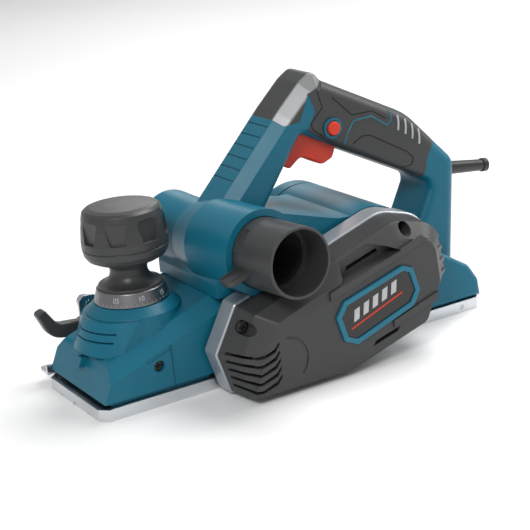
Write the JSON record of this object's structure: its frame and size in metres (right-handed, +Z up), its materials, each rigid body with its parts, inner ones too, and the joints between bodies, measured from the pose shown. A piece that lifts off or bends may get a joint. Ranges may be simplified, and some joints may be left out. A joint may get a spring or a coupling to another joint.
{
  "type": "electric hand planer",
  "caption": "Hand-held electric planer with a height-set front shoe, a belt-driven cutter drum, a side dust outlet and a closed loop handle with a trigger.",
  "frame": {"origin": "middle of the sole's length and width, on the sole plane", "axes": "+X from toe to heel along the sole, +Y away from the belt cover, +Z up out of the sole"},
  "size_m": [0.329, 0.1599, 0.1776],
  "materials": {
    "housing": "satin moulded plastic",
    "cover": "satin moulded plastic",
    "rim": "satin silver",
    "alloy": "machined",
    "steel": "bright",
    "softgrip": "soft, satin",
    "knobplastic": "satin",
    "dial": "brushed",
    "trim": "satin silver",
    "red": "satin",
    "badge": "gloss",
    "badgering": "satin",
    "belt": "matt",
    "copper": "copper wire",
    "carbon": "matt",
    "brass": "satin",
    "fanplastic": "matt"
  },
  "bodies": {
    "planer": {"base_frame": "alloy", "guide_pins": "steel", "toe_housing": "housing", "toe_screws": "steel", "housing_left": "housing", "housing_right": "housing", "housing_screws": "steel", "handle_cap": "softgrip", "cap_trims": "trim", "grip_left": "softgrip", "grip_right": "softgrip", "lock_bezel": "housing", "cover_rim": "rim", "belt_cover": "cover", "badge_ring": "badgering", "badge_plate": "badge", "cover_screws": "steel", "drum_bearing_near": "steel", "drum_bearing_far": "steel", "drive_belt": "belt", "stator_core": "steel", "field_coils": "copper", "motor_bearing_near": "steel", "motor_bearing_far": "steel", "motor_cap": "housing", "carbon_brushes": "carbon", "brush_holders": "brass", "stop_stud": "steel", "switch_body": "cover", "cord_sleeve": "belt", "foot_pin": "steel"},
    "knob": {"depth_knob": "knobplastic", "dial_ring": "dial", "depth_screw": "steel"},
    "shoe": {"front_shoe": "alloy"},
    "drum": {"cutter_drum": "steel", "blades": "steel", "blade_clamps": "steel", "drum_shaft": "steel", "drum_pulley": "alloy"},
    "rotor": {"motor_pulley": "steel", "motor_shaft": "steel", "armature_core": "steel", "armature_windings": "copper", "commutator": "copper", "cooling_fan": "fanplastic"},
    "outlet": {"dust_tube": "cover", "chip_deflector": "cover"},
    "stop": {"depth_stop": "steel", "stop_grip": "steel"},
    "lever": {"stop_lever": "cover"},
    "trigger": {"trigger": "red"},
    "lock": {"lock_button": "red"},
    "rest_foot": {"parking_foot": "cover"}
  },
  "joints": [
    {"name": "depth_set", "type": "hinge", "parent": "planer", "child": "knob", "pos_m": [-0.0964, 0, 0.0594], "axis": [0, 0, -1], "range_deg": [0, 240]},
    {"name": "shoe_slide", "type": "slide", "parent": "planer", "child": "shoe", "axis": [0, 0, 1], "range_m": [0, 0.003]},
    {"name": "drum_spin", "type": "hinge", "parent": "planer", "child": "drum", "pos_m": [-0.038, 0, 0.023], "axis": [0, 1, 0], "continuous": true},
    {"name": "motor_spin", "type": "hinge", "parent": "planer", "child": "rotor", "pos_m": [0.057, 0, 0.057], "axis": [0, 1, 0], "continuous": true},
    {"name": "outlet_twist", "type": "hinge", "parent": "planer", "child": "outlet", "pos_m": [-0.0339, -0.041, 0.0846], "axis": [0.0749, -0.9966, 0.0349], "range_deg": [-60, 0]},
    {"name": "stop_slide", "type": "slide", "parent": "planer", "child": "stop", "axis": [0, 0, 1], "range_m": [-0.005, 0.0045]},
    {"name": "stop_clamp", "type": "hinge", "parent": "planer", "child": "lever", "pos_m": [-0.109, 0.05, 0.0285], "axis": [0, 1, 0], "range_deg": [-30, 0]},
    {"name": "trigger_pull", "type": "slide", "parent": "planer", "child": "trigger", "axis": [0.5, 0, 0.866], "range_m": [0, 0.005], "stiffness_N_per_m": 600, "springref_m": -0.004},
    {"name": "lock_push", "type": "slide", "parent": "planer", "child": "lock", "axis": [0, 1, 0], "range_m": [0, 0.003], "stiffness_N_per_m": 300, "springref_m": -0.002},
    {"name": "foot_swing", "type": "hinge", "parent": "planer", "child": "rest_foot", "pos_m": [0.126, -0.031, 0.0038], "axis": [0, 1, 0], "range_deg": [-75, 0]}
  ],
  "couplings": [
    {"joint": "shoe_slide", "follows": "depth_set", "m_per_rad": 0.00071619},
    {"joint": "motor_spin", "follows": "drum_spin", "ratio": 1.3333}
  ]
}
